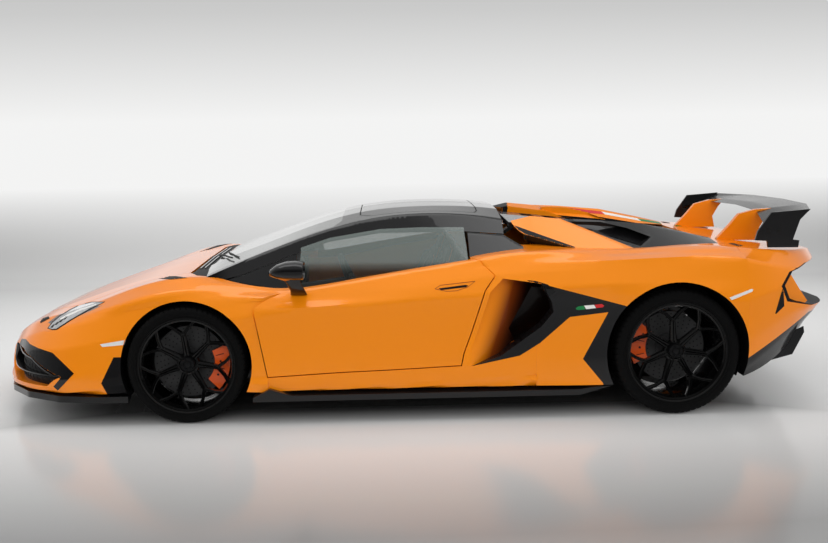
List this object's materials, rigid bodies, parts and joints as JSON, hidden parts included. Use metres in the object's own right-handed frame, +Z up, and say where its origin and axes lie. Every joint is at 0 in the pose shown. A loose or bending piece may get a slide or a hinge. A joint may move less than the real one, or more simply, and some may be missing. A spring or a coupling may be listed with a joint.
{
  "type": "supercar",
  "caption": "Low mid-engined two-seat supercar with lifting scissor doors, lift-off roof panels, side air scoops, large rear wing and Y-spoke wheels.",
  "frame": {"origin": "on the ground, under the middle of the car's length and width", "axes": "+X forward, +Y to the car's left, +Z up"},
  "size_m": [4.943, 2.262, 1.1359],
  "materials": {
    "body_paint": "gloss",
    "black_paint": "gloss",
    "black_plastic": "satin",
    "carbon": "gloss",
    "glass": "polished",
    "lamp_lens": "gloss",
    "rear_lens": "gloss",
    "tyre": "matt",
    "rim": "gloss",
    "disc": "machined",
    "calliper": "gloss",
    "alloy": "satin",
    "exhaust": "brushed",
    "leather": "matt",
    "iron": "cast"
  },
  "bodies": {
    "body": {"front_bumper": "body_paint", "headlamps": "lamp_lens", "front_fenders": "body_paint", "front_trim": "black_plastic", "front_splitter": "black_paint", "cowl": "black_plastic", "roof_frame": "black_paint", "windscreen": "glass", "quarter_panels": "black_paint", "rocker_panels": "body_paint", "rear_fenders": "body_paint", "side_trim": "carbon", "rear_bumper": "body_paint", "rear_grille": "black_plastic", "diffuser": "carbon", "buttresses": "carbon", "roof_fins": "body_paint", "wing": "carbon", "wing_pylons": "body_paint", "exhaust_tips": "exhaust", "tail_lamps": "rear_lens", "underfloor": "black_plastic", "chassis_tub": "carbon", "luggage_tub": "black_plastic", "dashboard": "leather", "seats": "leather", "steering_wheel": "leather", "engine_block": "iron", "rear_callipers": "calliper", "front_suspension": "alloy", "rear_suspension": "alloy"},
    "bonnet": {"bonnet": "body_paint"},
    "engine_lid": {"engine_lid": "carbon"},
    "roof_panel_left": {"roof_panel_left": "black_paint"},
    "door_left": {"door_left": "body_paint", "door_glass_left": "glass", "mirror_left": "black_paint"},
    "knuckle_left": {"knuckle_front_left": "alloy", "calliper_front_left": "calliper"},
    "wheel_front_left": {"tyre_front_left": "tyre", "rim_front_left": "rim", "brake_disc_front_left": "disc"},
    "wheel_rear_left": {"tyre_rear_left": "tyre", "rim_rear_left": "rim", "brake_disc_rear_left": "disc"},
    "roof_panel_right": {"roof_panel_right": "black_paint"},
    "door_right": {"door_right": "body_paint", "door_glass_right": "glass", "mirror_right": "black_paint"},
    "knuckle_right": {"knuckle_front_right": "alloy", "calliper_front_right": "calliper"},
    "wheel_front_right": {"tyre_front_right": "tyre", "rim_front_right": "rim", "brake_disc_front_right": "disc"},
    "wheel_rear_right": {"tyre_rear_right": "tyre", "rim_rear_right": "rim", "brake_disc_rear_right": "disc"}
  },
  "joints": [
    {"name": "door_left_scissor", "type": "hinge", "parent": "body", "child": "door_left", "pos_m": [0.87, 0.88, 0.64], "axis": [0, 0.9781, -0.208], "range_deg": [0, 75]},
    {"name": "roof_left_lift", "type": "slide", "parent": "body", "child": "roof_panel_left", "axis": [0, 0, 1], "range_m": [0, 0.2]},
    {"name": "steering_left", "type": "hinge", "parent": "body", "child": "knuckle_left", "pos_m": [1.2215, 0.7995, 0.327], "axis": [0, 0, 1], "range_deg": [-30, 30]},
    {"name": "wheel_front_left_roll", "type": "hinge", "parent": "knuckle_left", "child": "wheel_front_left", "pos_m": [1.2215, 0.8595, 0.327], "axis": [0, 1, 0], "continuous": true},
    {"name": "wheel_rear_left_roll", "type": "hinge", "parent": "body", "child": "wheel_rear_left", "pos_m": [-1.4785, 0.8475, 0.352], "axis": [0, 1, 0], "continuous": true},
    {"name": "door_right_scissor", "type": "hinge", "parent": "body", "child": "door_right", "pos_m": [0.87, -0.88, 0.64], "axis": [0, 0.9781, 0.208], "range_deg": [0, 75]},
    {"name": "roof_right_lift", "type": "slide", "parent": "body", "child": "roof_panel_right", "axis": [0, 0, 1], "range_m": [0, 0.2]},
    {"name": "steering_right", "type": "hinge", "parent": "body", "child": "knuckle_right", "pos_m": [1.2215, -0.7995, 0.327], "axis": [0, 0, 1], "range_deg": [-30, 30]},
    {"name": "wheel_front_right_roll", "type": "hinge", "parent": "knuckle_right", "child": "wheel_front_right", "pos_m": [1.2215, -0.8595, 0.327], "axis": [0, 1, 0], "continuous": true},
    {"name": "wheel_rear_right_roll", "type": "hinge", "parent": "body", "child": "wheel_rear_right", "pos_m": [-1.4785, -0.8475, 0.352], "axis": [0, 1, 0], "continuous": true},
    {"name": "bonnet_hinge", "type": "hinge", "parent": "body", "child": "bonnet", "pos_m": [1.262, 0, 0.748], "axis": [0, -1, 0], "range_deg": [0, 55]},
    {"name": "engine_lid_hinge", "type": "hinge", "parent": "body", "child": "engine_lid", "pos_m": [-0.64, 0, 0.996], "axis": [0, 1, 0], "range_deg": [0, 45]}
  ],
  "couplings": [
    {"joint": "steering_right", "follows": "steering_left", "ratio": 1}
  ]
}
